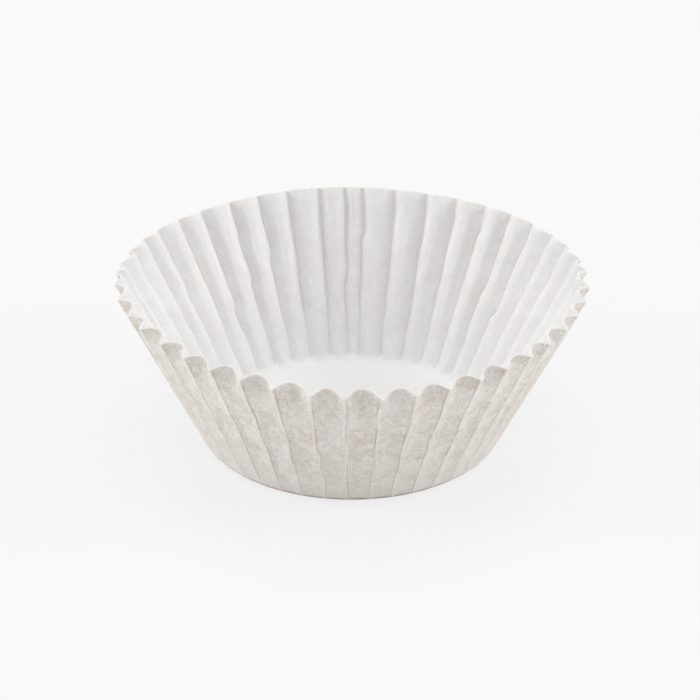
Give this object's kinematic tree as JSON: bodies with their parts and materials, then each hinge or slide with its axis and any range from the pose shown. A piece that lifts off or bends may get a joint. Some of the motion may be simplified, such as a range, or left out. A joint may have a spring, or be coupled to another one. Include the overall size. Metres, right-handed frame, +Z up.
{
  "type": "paper candy cup",
  "caption": "Round fluted paper cup with a flat floor and a flared pleated wall with a scalloped cut edge, for holding one sweet or small cake.",
  "frame": {"origin": "centre of the underside of the flat floor", "axes": "+Z up along the cup's axis, out of its mouth; +Y away from the viewer of the picture and +X to the right"},
  "size_m": [0.0515, 0.051, 0.0184],
  "materials": {
    "white_paper": "matt uncoated white paper with a faint cloudy fibre pattern"
  },
  "bodies": {
    "root": {"fluted_paper_cup": "white_paper"}
  },
  "joints": []
}
